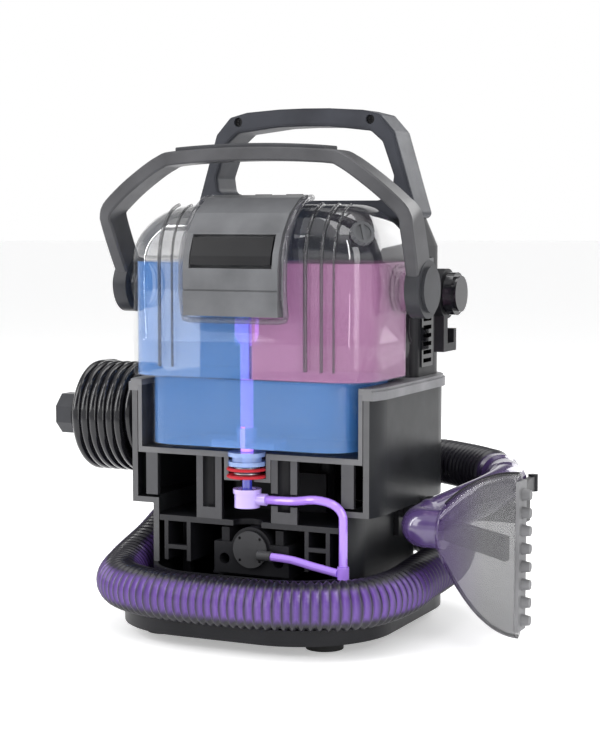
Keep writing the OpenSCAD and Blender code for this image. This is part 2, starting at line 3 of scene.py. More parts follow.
import bmesh
import bpy
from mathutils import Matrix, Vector


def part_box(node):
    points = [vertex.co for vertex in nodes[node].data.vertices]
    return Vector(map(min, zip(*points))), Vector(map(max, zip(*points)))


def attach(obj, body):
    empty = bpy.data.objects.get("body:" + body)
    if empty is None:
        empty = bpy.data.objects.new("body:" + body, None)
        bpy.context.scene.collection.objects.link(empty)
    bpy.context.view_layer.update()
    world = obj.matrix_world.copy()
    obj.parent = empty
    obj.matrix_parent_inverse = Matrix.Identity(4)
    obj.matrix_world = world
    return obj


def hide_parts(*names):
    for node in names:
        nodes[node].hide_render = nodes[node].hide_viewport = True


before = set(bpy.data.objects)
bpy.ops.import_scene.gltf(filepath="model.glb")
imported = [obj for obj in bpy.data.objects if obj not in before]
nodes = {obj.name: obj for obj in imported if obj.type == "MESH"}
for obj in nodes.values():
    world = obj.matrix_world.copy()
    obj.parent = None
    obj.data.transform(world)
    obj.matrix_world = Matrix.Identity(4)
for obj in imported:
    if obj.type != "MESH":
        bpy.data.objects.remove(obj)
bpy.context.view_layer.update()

MM = 0.001
ORIGIN_X = 10  # the part's origin is this far right of the base's middle, in mm
CUT_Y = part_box("tank_well")[0].y  # the plane that the housing is cut on
TANK_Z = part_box("tank_shell")[0].z / MM
TANK_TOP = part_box("tank_shell")[1].z / MM
STEP_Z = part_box("housing_rim")[1].z / MM + 1
TANK_W, TANK_FRONT, TANK_REAR, TANK_CORNER = 190, -72, 29, 28
FOOT_W, FOOT_FRONT, FOOT_REAR, FOOT_CORNER = 164, -70, 26, 26
FOOT_ROUND = 4
DOME_IN = 34  # how far the dome's front and sides pull in
DOME_REAR_SHARE = 0.55
SEAM_Z = 205
DOME_Z = 262
TANK_WALL = 2.5


def at(x, y, z):
    """A point given in mm from the middle of the base, in the frame's metres."""
    return Vector(((x - ORIGIN_X) * MM, y * MM, z * MM))


# ---------------------------------------------------------------- camera and light

AZIMUTH = math.radians(25)
RANGE_MM = 1295
EYE_Z = 295
SIDE_MM = 11.4
PITCH = math.radians(5.1)


def make_camera():
    data = bpy.data.cameras.new("camera")
    data.lens = 86.4
    data.sensor_width = 36
    data.clip_end = 20
    cam = bpy.data.objects.new("camera", data)
    bpy.context.scene.collection.objects.link(cam)
    s, c = math.sin(AZIMUTH), math.cos(AZIMUTH)
    cam.location = at(RANGE_MM * s + SIDE_MM * c, -RANGE_MM * c + SIDE_MM * s, EYE_Z)
    cam.rotation_euler = (math.pi / 2 - PITCH, 0, AZIMUTH)
    bpy.context.scene.camera = cam


def area_light(name, place, aim, size, power):
    data = bpy.data.lights.new(name, "AREA")
    data.shape = "RECTANGLE"
    data.size, data.size_y = size
    data.energy = power
    lamp = bpy.data.objects.new(name, data)
    bpy.context.scene.collection.objects.link(lamp)
    lamp.location = place
    lamp.rotation_euler = (Vector(aim) - Vector(place)).to_track_quat("-Z", "Y").to_euler()


def make_light():
    world = bpy.data.worlds.new("studio")
    bpy.context.scene.world = world
    world.use_nodes = True
    tree = world.node_tree
    place = tree.nodes.new("ShaderNodeTexCoord")
    split = tree.nodes.new("ShaderNodeSeparateXYZ")
    ramp = tree.nodes.new("ShaderNodeValToRGB")
    bands = ramp.color_ramp.elements
    bands[0].position, bands[0].color = 0.0, (1, 1, 1, 1)
    bands[1].position, bands[1].color = 1.0, (1, 1, 1, 1)
    for height, level in ((0.30, 1.0), (0.42, 0.1), (0.66, 0.14), (0.8, 0.95)):
        bands.new(height).color = (level, level, level, 1)
    tree.links.new(place.outputs["Generated"], split.inputs["Vector"])
    tree.links.new(split.outputs["Z"], ramp.inputs["Fac"])
    tree.links.new(ramp.outputs["Color"], tree.nodes["Background"].inputs[0])
    aim = (0, 0, 0.18)
    area_light("key_left", (-1.1, -1.2, 1.1), aim, (0.7, 1.2), 13)
    area_light("fill_right", (1.5, -0.9, 0.7), aim, (0.5, 1.4), 8)
    area_light("top", (0.1, 0.1, 1.6), aim, (1.4, 1.0), 12)
    area_light("rim_back", (0.6, 1.5, 0.9), aim, (1.2, 0.7), 10)
    area_light("strip_left", (-0.9, -0.5, 0.75), aim, (0.07, 1.1), 5)
    area_light("strip_right", (0.75, -0.95, 0.95), aim, (0.07, 1.0), 4)


def make_floor():
    bpy.ops.mesh.primitive_plane_add(size=80, location=(0, 0, 0))
    floor = bpy.context.object
    floor.name = "floor"
    mat = bpy.data.materials.new("floor_paper")
    mat.use_nodes = True
    shader = mat.node_tree.nodes["Principled BSDF"]
    shader.inputs["Base Color"].default_value = (0.93, 0.93, 0.935, 1)
    shader.inputs["Roughness"].default_value = 0.6
    shader.inputs["Specular IOR Level"].default_value = 0.2
    shader.inputs["Emission Color"].default_value = (1, 1, 1, 1)
    shader.inputs["Emission Strength"].default_value = 0.36
    floor.data.materials.append(mat)


# ---------------------------------------------------------------- materials


class Shader:
    """A small helper round one material's node tree."""

    def __init__(self, name):
        self.mat = bpy.data.materials.new(name)
        self.mat.use_nodes = True
        self.tree = self.mat.node_tree
        self.main = self.tree.nodes["Principled BSDF"]
        self.place = self.tree.nodes.new("ShaderNodeTexCoord")

    def set(self, **values):
        for key, value in values.items():
            socket = self.main.inputs[key.replace("_", " ")]
            if hasattr(value, "__len__") and len(value) == 3:
                value = (*value, 1)
            socket.default_value = value

    def node(self, kind, **values):
        made = self.tree.nodes.new(kind)
        for key, value in values.items():
            if hasattr(made, key):
                setattr(made, key, value)
            else:
                made.inputs[key.replace("_", " ")].default_value = value
        return made

    def link(self, a, b):
        self.tree.links.new(a, b)

    def noise(self, scale, detail=3.0):
        made = self.node("ShaderNodeTexNoise", Scale=scale, Detail=detail)
        self.link(self.place.outputs["Object"], made.inputs["Vector"])
        return made.outputs["Fac"]

    def ramp(self, source, low, high, start=0.3, end=0.7):
        made = self.node("ShaderNodeValToRGB")
        made.color_ramp.elements[0].position = start
        made.color_ramp.elements[1].position = end
        made.color_ramp.elements[0].color = (*low, 1)
        made.color_ramp.elements[1].color = (*high, 1)
        self.link(source, made.inputs["Fac"])
        return made.outputs["Color"]

    def vary_roughness(self, scale, low, high):
        span = self.node("ShaderNodeMapRange")
        span.inputs["To Min"].default_value = low
        span.inputs["To Max"].default_value = high
        self.link(self.noise(scale), span.inputs["Value"])
        self.link(span.outputs["Result"], self.main.inputs["Roughness"])

    def bump(self, source, strength, distance):
        made = self.node("ShaderNodeBump")
        made.inputs["Strength"].default_value = strength
        made.inputs["Distance"].default_value = distance
        self.link(source, made.inputs["Height"])
        self.link(made.outputs["Normal"], self.main.inputs["Normal"])


def moulded(name, colour, rough, grain=0.12, lift=1.25, coat=0.0):
    """Moulded plastic: slight colour drift, spark-eroded grain and uneven gloss."""
    s = Shader(name)
    low = tuple(c * 0.85 for c in colour)
    high = tuple(c * lift for c in colour)
    s.link(s.ramp(s.noise(38, 4), low, high), s.main.inputs["Base Color"])
    s.vary_roughness(90, rough - 0.06, rough + 0.07)
    s.bump(s.noise(2600, 2), grain, 0.0002)
    s.set(Coat_Weight=coat, Coat_Roughness=0.06, IOR=1.5)
    s.set(Specular_IOR_Level=0.16)
    return s.mat


def sectioned(name, colour, rough, cut_colour, plane=CUT_Y):
    """Moulded plastic whose faces on the cutting plane are light."""
    s = Shader(name)
    low = tuple(c * 0.8 for c in colour)
    high = tuple(c * 1.25 for c in colour)
    skin = s.ramp(s.noise(38, 4), low, high)
    split = s.node("ShaderNodeSeparateXYZ")
    s.link(s.place.outputs["Object"], split.inputs["Vector"])
    before = s.node("ShaderNodeMath", operation="LESS_THAN")
    before.inputs[1].default_value = plane + 0.0002
    s.link(split.outputs["Y"], before.inputs[0])
    mix = s.node("ShaderNodeMix", data_type="RGBA")
    s.link(before.outputs["Value"], mix.inputs["Factor"])
    s.link(skin, mix.inputs[6])
    face = s.ramp(s.noise(120, 5), tuple(c * 0.92 for c in cut_colour), cut_colour)
    s.link(face, mix.inputs[7])
    s.link(mix.outputs[2], s.main.inputs["Base Color"])
    s.vary_roughness(80, rough - 0.05, rough + 0.08)
    s.bump(s.noise(2200, 2), 0.1, 0.0002)
    s.set(Specular_IOR_Level=0.16)
    return s.mat


def clear(name, colour, alpha, rough=0.03, painted_glow=0.0, coat=1.0, drift=0.1):
    """Clear or tinted moulded plastic, or a liquid, seen as thin walls. A painted glow is emission in the
    part's own colour: painted light.
    """
    s = Shader(name)
    low = tuple(c * (1 - drift) for c in colour)
    s.link(s.ramp(s.noise(14, 2), low, colour), s.main.inputs["Base Color"])
    s.vary_roughness(20, rough, rough + 0.03)
    s.bump(s.noise(30, 1), 0.03, 0.001)
    s.set(Alpha=alpha, IOR=1.5, Coat_Weight=coat, Coat_Roughness=0.02)
    # Painted light: the part glows in its own colour, though it is no lamp.
    if painted_glow:
        s.set(Emission_Color=colour, Emission_Strength=painted_glow)
    return s.mat


def tank_plastic(name, below, above, strength):
    """Clear shell: nearly invisible over the liquids, dark and reflective over the empty dome, where the dark
    tint is painted shade standing in for the dark reflections seen in the clear dome.
    """
    s = Shader(name)
    split = s.node("ShaderNodeSeparateXYZ")
    s.link(s.place.outputs["Object"], split.inputs["Vector"])
    # Painted shade: from the dome's foot up, the shell turns darker and more opaque.
    span = s.node("ShaderNodeMapRange")
    span.inputs["From Min"].default_value = at(0, 0, DOME_Z - 1).z
    span.inputs["From Max"].default_value = at(0, 0, DOME_Z + 5).z
    span.inputs["To Min"].default_value = below
    span.inputs["To Max"].default_value = above
    s.link(split.outputs["Z"], span.inputs["Value"])
    s.link(span.outputs["Result"], s.main.inputs["Alpha"])
    s.link(s.ramp(s.noise(9, 2), (0.01, 0.011, 0.014), (0.05, 0.054, 0.065)), s.main.inputs["Base Color"])
    s.vary_roughness(20, 0.015, 0.04)
    s.bump(s.noise(16, 1), strength, 0.004)
    s.set(IOR=1.9, Coat_Weight=1.0, Coat_Roughness=0.02)
    return s.mat


def metal(name, colour, rough):
    s = Shader(name)
    s.set(Metallic=1.0)
    s.link(s.ramp(s.noise(240, 6), tuple(c * 0.8 for c in colour), colour), s.main.inputs["Base Color"])
    s.vary_roughness(400, rough - 0.08, rough + 0.12)
    s.bump(s.noise(900, 4), 0.08, 0.0002)
    return s.mat


def make_materials():
    light = (0.1, 0.1, 0.104)
    return {
        "black": moulded("black_satin", (0.012, 0.012, 0.014), 0.38),
        "gloss_black": moulded("black_gloss", (0.006, 0.006, 0.008), 0.12, 0.02, coat=0.6),
        "handle": moulded("handle_grey", (0.036, 0.038, 0.046), 0.45, 0.2),
        "bail": moulded("bail_grey", (0.06, 0.06, 0.064), 0.34, 0.1),
        "panel": moulded("panel_grey", (0.105, 0.107, 0.113), 0.32, 0.06),
        "hub": moulded("hub_grey", (0.035, 0.036, 0.04), 0.3, 0.08),
        "rubber": moulded("rubber_black", (0.018, 0.018, 0.018), 0.7, 0.3),
        "housing": sectioned("housing_black", (0.016, 0.017, 0.019), 0.32, light),
        "rim": sectioned("rim_grey", (0.17, 0.17, 0.18), 0.35, (0.16, 0.16, 0.166)),
        "well": sectioned("well_grey", (0.04, 0.04, 0.044), 0.35, (0.14, 0.14, 0.146)),
        "frame": sectioned("frame_black", (0.008, 0.008, 0.01), 0.4, (0.035, 0.035, 0.038)),
        "pump": sectioned("pump_black", (0.012, 0.012, 0.014), 0.35, (0.05, 0.05, 0.053)),
        "boss": sectioned("boss_grey", (0.015, 0.015, 0.017), 0.4, (0.075, 0.075, 0.08)),
        "tooth": moulded("tooth_grey", (0.16, 0.16, 0.165), 0.45, 0.15),
        "duct": moulded("duct_black", (0.012, 0.01, 0.016), 0.3, 0.05),
        "steel": metal("brushed_steel", (0.62, 0.62, 0.64), 0.3),
        "seal": moulded("seal_red", (0.4, 0.02, 0.03), 0.4, 0.05),
        # Painted light: the receiver and the feed tubes glow a little in their own colours.
        "lilac": clear("receiver_lilac", (0.52, 0.4, 0.85), 0.92, 0.08, 0.12),
        "tube": clear("tube_purple", (0.36, 0.2, 0.72), 0.92, 0.06, 0.25),
        "clear": tank_plastic("tank_clear", 0.1, 0.5, 0.35),
        "inner": tank_plastic("tank_inner", 0.03, 0.22, 0.5),
        "rib": clear("tank_rib", (0.1, 0.1, 0.115), 0.4, 0.03),
        "wall": clear("wall_clear", (0.1, 0.13, 0.25), 0.35, 0.04),
        "valve": clear("valve_blue", (0.35, 0.5, 0.9), 0.6, 0.05),
        # Painted light: the liquids and the valve stem glow a little in their own colours.
        "water": clear("water_blue", (0.07, 0.25, 0.64), 0.5, 0.02, 0.16),
        "formula": clear("formula_pink", (0.58, 0.27, 0.5), 0.44, 0.02, 0.2),
        "deep_blue": clear("stem_blue", (0.05, 0.06, 0.5), 0.95, 0.1, 0.1),
        "smoke": clear("nozzle_smoke", (0.07, 0.07, 0.08), 0.42, 0.04),
        # Painted reflection: the ribs' dark tint stands in for dark streaks reflected in the dome.
        "rib_painted_streak": clear("tank_rib_painted_streak", (0.03, 0.03, 0.035), 0.5, 0.03),
        # Painted light: the mixing tube and head glow strongly, so they read bright through the liquids.
        "mixer_painted_glow": clear("mixer_purple", (0.42, 0.2, 0.9), 0.97, 0.06, 1.5),
        "latch": moulded("latch_black", (0.008, 0.008, 0.009), 0.3, 0.05),
        "purple_core": clear("core_purple", (0.06, 0.035, 0.12), 1.0, 0.25),
    }


# ---------------------------------------------------------------- mesh helpers


def smooth_route(points, steps):
    """The same smooth curve through the points that the design sweeps its tubes along."""
    points = [Vector(p) for p in points]
    ends = [2 * points[0] - points[1], *points, 2 * points[-1] - points[-2]]
    made = []
    for i in range(len(points) - 1):
        a, b, c, d = ends[i : i + 4]
        for j in range(steps):
            t = j / steps
            square, cube = 2 * a - 5 * b + 4 * c - d, 3 * b - a - 3 * c + d
            made.append(0.5 * (2 * b + (c - a) * t + square * t**2 + cube * t**3))
    return [*made, points[-1]]


def evenly(points, gap):
    """Points along a line of points, gap apart, first and last kept."""
    lengths = [0.0]
    for a, b in zip(points, points[1:]):
        lengths.append(lengths[-1] + (b - a).length)
    count = max(2, round(lengths[-1] / gap))
    made, k = [], 0
    for i in range(count + 1):
        want = lengths[-1] * i / count
        while k < len(points) - 2 and lengths[k + 1] < want:
            k += 1
        share = (want - lengths[k]) / max(lengths[k + 1] - lengths[k], 1e-9)
        made.append(points[k].lerp(points[k + 1], share))
    return made


def tube_rings(mesh, path, radius_at, sides, ref=Vector((0, 0, 1))):
    """Adds a swept tube to a bmesh. radius_at gives each ring's radius from its number."""
    rings = []
    side_before = None
    for i, p in enumerate(path):
        t = (path[min(i + 1, len(path) - 1)] - path[max(i - 1, 0)]).normalized()
        side = t.cross(ref)
        if side_before is not None and (side.length < 0.2 or side.dot(side_before) < 0):
            side = side_before - t * side_before.dot(t)
        side.normalize()
        side_before = side
        up = side.cross(t)
        r = radius_at(i)
        ring = []
        for k in range(sides):
            angle = 2 * math.pi * k / sides
            ring.append(mesh.verts.new(p + r * (math.cos(angle) * side + math.sin(angle) * up)))
        rings.append(ring)
    for a, b in zip(rings, rings[1:]):
        for k in range(sides):
            mesh.faces.new((a[k], a[(k + 1) % sides], b[(k + 1) % sides], b[k])).smooth = True
    mesh.faces.new(rings[0][::-1])
    mesh.faces.new(rings[-1])


def finish_mesh(name, mesh, mat, body):
    """Makes an object of a bmesh, with its one material, riding on a body."""
    bmesh.ops.recalc_face_normals(mesh, faces=mesh.faces)
    data = bpy.data.meshes.new(name)
    mesh.to_mesh(data)
    mesh.free()
    data.materials.append(mat)
    obj = bpy.data.objects.new(name, data)
    bpy.context.scene.collection.objects.link(obj)
    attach(obj, body)
    return obj


# ---------------------------------------------------------------- hose and cord

HOSE_D = 0.034
HOSE_ROUTE = [
    (22, 106, 58), (60, 107, 55), (94, 92, 50), (108, 50, 45), (108, 0, 41),
    (106, -45, 37.5), (90, -85, 36), (50, -107, 36), (0, -112, 36), (-50, -107, 36),
    (-88, -84, 36), (-104, -45, 39.5), (-108, 0, 50), (-111, 50, 66), (-102, 98, 82),
    (-60, 118, 94), (-20, 121, 101), (30, 121, 105), (72, 117, 107), (106, 98, 107),
    (136, 72, 107),
]  # fmt: skip
RIB_PITCH = 0.0056
RINGS_A_RIB = 6


def hose_material():
    """Black ridges over purple valleys, by the height of each point above the tube's core, with painted shade
    that darkens the hose towards the rear and towards its upper and lower edges.
    """
    s = Shader("hose_ribbed")
    height = s.node("ShaderNodeAttribute", attribute_name="ridge")
    drift = s.noise(25, 3)
    valley = s.ramp(drift, (0.1, 0.045, 0.24), (0.15, 0.07, 0.33))
    split = s.node("ShaderNodeSeparateXYZ")
    # Painted shade: the hose darkens towards the rear, from y = -0.07 m to 0.05 m.
    s.link(s.place.outputs["Object"], split.inputs["Vector"])
    span = s.node("ShaderNodeMapRange")
    span.inputs["From Min"].default_value = -0.07
    span.inputs["From Max"].default_value = 0.05
    s.link(split.outputs["Y"], span.inputs["Value"])
    # Painted shade: the edge attribute darkens the hose towards its upper and lower edges.
    edge = s.node("ShaderNodeAttribute", attribute_name="edge")
    away = s.node("ShaderNodeMath", operation="MAXIMUM")
    s.link(span.outputs["Result"], away.inputs[0])
    s.link(edge.outputs["Fac"], away.inputs[1])
    dark = s.node("ShaderNodeMath", operation="MAXIMUM")
    s.link(away.outputs["Value"], dark.inputs[0])
    s.link(height.outputs["Fac"], dark.inputs[1])
    mix = s.node("ShaderNodeMix", data_type="RGBA")
    mix.inputs[7].default_value = (0.009, 0.008, 0.013, 1)
    s.link(dark.outputs["Value"], mix.inputs["Factor"])
    s.link(valley, mix.inputs[6])
    s.link(mix.outputs[2], s.main.inputs["Base Color"])
    s.vary_roughness(60, 0.28, 0.38)
    s.bump(s.noise(1500, 2), 0.06, 0.0002)
    s.set(Coat_Weight=0.15, Coat_Roughness=0.12, Specular_IOR_Level=0.35)
    return s.mat


def make_hose(mats):
    path = evenly(smooth_route([at(*p) for p in HOSE_ROUTE], 12), RIB_PITCH / RINGS_A_RIB)
    outer = HOSE_D / 2
    depth = 0.0021

    def ridge(i):
        wave = 0.5 - 0.5 * math.cos(2 * math.pi * i / RINGS_A_RIB)
        return wave**0.9

    mesh = bmesh.new()
    tube_rings(mesh, path, lambda i: outer - depth + depth * ridge(i), 32)
    hose = finish_mesh("suction_hose", mesh, hose_material(), "machine")
    layer = hose.data.attributes.new("ridge", "FLOAT", "POINT")
    layer.data.foreach_set("value", [ridge(i // 32) ** 2.5 for i in range(len(hose.data.vertices))])
    # Painted shade: the hose is darkened towards its upper and lower edges, standing in for the dark edges of
    # its clear wall.
    painted_edge_shade = []
    for i, vertex in enumerate(hose.data.vertices):
        rise = (vertex.co.z - path[i // 32].z) / outer
        painted_edge_shade.append(min(1.0, max(0.0, (abs(rise - 0.12) - 0.52) * 6)))
    layer = hose.data.attributes.new("edge", "FLOAT", "POINT")
    layer.data.foreach_set("value", painted_edge_shade)
    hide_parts("hose")
    return hose


CORD_D = 0.007
COIL_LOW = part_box("power_cord")[0]
COIL_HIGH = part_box("power_cord")[1]
TURNS_A_LAYER = 7
LAYERS = 3
TAIL = [
    (-152.5, 9, 182), (-151.5, 20, 180.5), (-148, 33, 174.5),
    (-143, 43, 165), (-138, 48.5, 157), (-136, 50, 150),
]  # fmt: skip


def cord_path():
    """From the tip of the strain relief, round the spindle in three layers, and over to the plug."""
    centre = (COIL_LOW + COIL_HIGH) / 2
    inner = centre.z - at(0, 0, 121.5).z
    step_r = CORD_D
    near, far = COIL_HIGH.x - CORD_D / 2, COIL_LOW.x + CORD_D / 2
    turns = 48
    points = [at(-103.5, 26, 121.5), at(-103.5, 14, 121.5), at(-103.5, 3, 121.5)]
    total = TURNS_A_LAYER * LAYERS
    last = int((total - 0.5) * turns)
    for i in range(last + 1):
        turn = i / turns
        layer = min(LAYERS - 1, int(turn / TURNS_A_LAYER))
        share = turn / TURNS_A_LAYER - layer
        start, end = (near, far) if layer % 2 == 0 else (far, near)
        climb = min(1.0, share * TURNS_A_LAYER * 2) if layer else 1.0
        r = inner + step_r * (layer - 1 + climb if layer else 0)
        angle = -math.pi / 2 - 2 * math.pi * turn
        x = start + (end - start) * share
        points.append(Vector((x, centre.y + r * math.cos(angle), centre.z + r * math.sin(angle))))
    return points + smooth_route([at(*p) for p in TAIL], 6)


def make_cord(mats):
    path = evenly(cord_path(), 0.0036)
    mesh = bmesh.new()
    tube_rings(mesh, path, lambda i: CORD_D / 2, 12, Vector((1, 0, 0)))
    cord = finish_mesh("power_cord_wound", mesh, mats["gloss_black"], "machine")
    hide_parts("power_cord", "power_tail")
    return cord


# ---------------------------------------------------------------- tank shell

CORNER_STEPS = 10


def rounded_ring(mesh, width, front, rear, radius, z):
    """One level ring of vertices round a rounded rectangle, in mm from the base's middle."""
    made = []
    for sx, sy, first in ((1, 1, 0), (-1, 1, 90), (-1, -1, 180), (1, -1, 270)):
        cx = sx * (width / 2 - radius)
        cy = rear - radius if sy > 0 else front + radius
        for i in range(CORNER_STEPS + 1):
            a = math.radians(first + 90 * i / CORNER_STEPS)
            made.append(mesh.verts.new(at(cx + radius * math.cos(a), cy + radius * math.sin(a), z)))
    return made


VALVE = (0, -60)
VALVE_HOLE = 5


def loft(mesh, rings):
    """Joins the rings, closes the top, and closes the bottom round the hole for the valve's stem."""
    n = len(rings[0])
    for a, b in zip(rings, rings[1:]):
        for k in range(n):
            mesh.faces.new((a[k], a[(k + 1) % n], b[(k + 1) % n], b[k])).smooth = True
    mesh.faces.new(rings[-1])
    centre = at(*VALVE, 0)
    hole = []
    for v in rings[0]:
        away = Vector((v.co.x - centre.x, v.co.y - centre.y, 0)).normalized() * VALVE_HOLE * MM
        hole.append(mesh.verts.new((centre.x + away.x, centre.y + away.y, v.co.z)))
    for k in range(n):
        mesh.faces.new((rings[0][k], hole[k], hole[(k + 1) % n], rings[0][(k + 1) % n]))


def tank_levels(inset):
    """(width, front, rear, corner radius, z) of each level of the tank's outside, less inset."""
    made = []

    def level(width, front, rear, radius, z):
        made.append((width - 2 * inset, front + inset, rear - inset, max(radius - inset, 3), z))

    # The narrow foot that sits in the well, with its lower edge rounded
    base = TANK_Z + inset
    for i in range(4):
        a = math.radians(30 * i)
        soft = FOOT_ROUND * (1 - math.sin(a))
        z = base + FOOT_ROUND * (1 - math.cos(a))
        level(FOOT_W - 2 * soft, FOOT_FRONT + soft, FOOT_REAR - soft, FOOT_CORNER, z)
    level(FOOT_W, FOOT_FRONT, FOOT_REAR, FOOT_CORNER, STEP_Z - 2)
    # The step out over the rim
    for i in range(4):
        a = math.radians(30 * i)
        out = 1 - math.cos(a)
        width = FOOT_W + 24 * out + (2 if i == 3 else 0)
        z = STEP_Z - 1 + 3 * math.sin(a) + inset
        level(width, FOOT_FRONT - 2 * out, FOOT_REAR + 3 * out, FOOT_CORNER + 2 * out, z)
    # The seam, which stands 1 mm proud
    for z, proud in ((SEAM_Z - 1, 0), (SEAM_Z, 1), (SEAM_Z + 3, 1), (SEAM_Z + 4, 0)):
        level(TANK_W + 2 * proud, TANK_FRONT - proud, TANK_REAR + proud, TANK_CORNER + proud, z)
    # The dome
    level(TANK_W, TANK_FRONT, TANK_REAR, TANK_CORNER, DOME_Z - 3)
    for i in range(15):
        a = math.radians(6 * i)
        soft = DOME_IN * (1 - math.cos(a))
        z = DOME_Z + (TANK_TOP - DOME_Z - inset) * math.sin(a)
        level(TANK_W - 2 * soft, TANK_FRONT + soft, TANK_REAR - soft * DOME_REAR_SHARE, TANK_CORNER, z)
    return made


def make_tank(mats):
    """The clear shell with its wall's real thickness, a step into the well, a seam and a domed top."""
    mesh = bmesh.new()
    loft(mesh, [rounded_ring(mesh, *level) for level in tank_levels(0)])
    outer = finish_mesh("tank_clear_shell", mesh, mats["clear"], "tank")
    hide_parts("tank_shell")
    mesh = bmesh.new()
    loft(mesh, [rounded_ring(mesh, *level) for level in tank_levels(TANK_WALL)])
    inner = finish_mesh("tank_inner_wall", mesh, mats["inner"], "tank")
    return outer


# The door's raised clear frame follows the door's own side outline.
DOOR_SIDE = [(-79, 226), (-82, 240), (-82, 258), (-80, 270), (-74, 283), (-64, 295), (-49, 304.5), (-37, 306.5)]


DOOR_RIM_X = 38.8


def make_door_frame(mats):
    mesh = bmesh.new()
    for x in (-DOOR_RIM_X, DOOR_RIM_X):
        path = evenly(smooth_route([at(x, y, z) for y, z in DOOR_SIDE], 6), 0.003)
        tube_rings(mesh, path, lambda i: 0.0024, 12, Vector((1, 0, 0)))
    low = [(-DOOR_RIM_X, -79, 226), (-35, -80, 223.2), (0, -80, 223), (35, -80, 223.2), (DOOR_RIM_X, -79, 226)]
    low_path = evenly(smooth_route([at(*p) for p in low], 8), 0.003)
    tube_rings(mesh, low_path, lambda i: 0.0022, 12)
    made = finish_mesh("door_frame_rib", mesh, mats["rib"], "tank")
    return made


def make_tank_ribs(mats):
    """Moulded ribs that run up the front of the tank and over its dome. Their dark tint is a painted
    reflection, standing in for the dark streaks reflected in the clear dome.
    """
    mesh = bmesh.new()
    for x, r in ((-62, 0.0013), (-52, 0.0009), (50, 0.0016), (62, 0.0013), (71, 0.0009)):
        side = [(TANK_FRONT - 0.2, STEP_Z + 10), (TANK_FRONT - 0.2, DOME_Z - 2)]
        for i in range(1, 12):
            a = math.radians(7.5 * i)
            y = TANK_FRONT - 0.2 + DOME_IN * (1 - math.cos(a))
            side.append((y, DOME_Z + (TANK_TOP - DOME_Z) * math.sin(a)))
        path = evenly(smooth_route([at(x, y, z) for y, z in side], 4), 0.003)
        tube_rings(mesh, path, lambda i: r, 8, Vector((1, 0, 0)))
    ribs = finish_mesh("tank_ribs", mesh, mats["rib_painted_streak"], "tank")
    return ribs


# ---------------------------------------------------------------- bail


def strap(mesh, path, profile, ref):
    """Sweeps a profile along a path with crisp lengthwise edges. Each profile edge is its own strip."""
    frames = []
    for i, p in enumerate(path):
        t = (path[min(i + 1, len(path) - 1)] - path[max(i - 1, 0)]).normalized()
        side = t.cross(ref).normalized()
        frames.append((p, side, side.cross(t)))
    for (a0, a1), (b0, b1) in zip(profile, profile[1:] + profile[:1]):
        rows = []
        for p, s, u in frames:
            rows.append((mesh.verts.new(p + a0 * s + a1 * u), mesh.verts.new(p + b0 * s + b1 * u)))
        for (c0, c1), (d0, d1) in zip(rows, rows[1:]):
            mesh.faces.new((c0, c1, d1, d0)).smooth = True
    for p, s, u in (frames[0], frames[-1]):
        mesh.faces.new([mesh.verts.new(p + a * s + b * u) for a, b in profile])


def flat_profile(half_thick, half_wide, chamfer):
    a, b, c = half_thick, half_wide, chamfer
    return [(a, b - c), (a - c, b), (c - a, b), (-a, b - c), (-a, c - b), (c - a, -b), (a - c, -b), (a, c - b)]


BAIL_SIDE = [
    (113, -23, 250), (114.5, -34, 271), (115, -44, 291),
    (113.5, -46.5, 297), (109.5, -48, 302), (96, -48.5, 313.5),
]  # fmt: skip
BAIL_TOP = [(80, -48, 325), (69, -47, 331.5), (61, -46.5, 334), (30, -46, 336), (0, -46, 336.6)]


def make_bail(mats):
    """The flat strap with its angular corners, and the thin grip strip on its top bar."""
    whole = [at(-x, y, z) for x, y, z in BAIL_SIDE + BAIL_TOP]
    whole += [at(x, y, z) for x, y, z in (BAIL_SIDE + BAIL_TOP)[-2::-1]]
    mesh = bmesh.new()
    path = evenly(smooth_route(whole, 5), 0.0025)
    strap(mesh, path, flat_profile(0.0048, 0.0115, 0.0012), Vector((0, 1, 0)))
    arms = finish_mesh("bail_strap", mesh, mats["bail"], "bail")
    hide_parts("bail_arms")
    mesh = bmesh.new()
    top = [p + Vector((0, 0, 0.0056)) for p in path if abs(p.x - at(0, 0, 0).x) < 0.058]
    strap(mesh, top, flat_profile(0.0016, 0.0104, 0.001), Vector((0, 1, 0)))
    grip = finish_mesh("bail_grip_strip", mesh, mats["hub"], "bail")
    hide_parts("bail_grip")


# ---------------------------------------------------------------- hand tool

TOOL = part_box("nozzle_shell")
TOOL_X = TOOL[0].x / MM + ORIGIN_X + 1
TOOL_Y = (TOOL[0].y + TOOL[1].y) / 2 / MM
MOUTH = 54


def nozzle_ring(mesh, share, inset):
    """One ring of the nozzle, share of the way from its neck to its mouth: tall and flat towards the mouth."""
    bow = math.sin(math.pi / 2 * share**0.82)
    top = 98 + 27 * bow - inset
    bottom = 67 - 52 * bow + inset
    half = (14.5 - 5.5 * math.sin(math.pi / 2 * min(1, share * 1.3))) - inset
    x = TOOL_X + MOUTH * share
    middle, tall = (top + bottom) / 2, (top - bottom) / 2
    power = 1 - 0.72 * min(1, share * 2)
    made = []
    for k in range(48):
        a = 2 * math.pi * k / 48
        c, s = math.cos(a), math.sin(a)
        y = half * math.copysign(abs(c) ** (0.45 + 0.5 * power), c)
        z = tall * math.copysign(abs(s) ** (0.3 + 0.6 * power), s)
        made.append(mesh.verts.new(at(x, TOOL_Y + y, middle + z)))
    return made


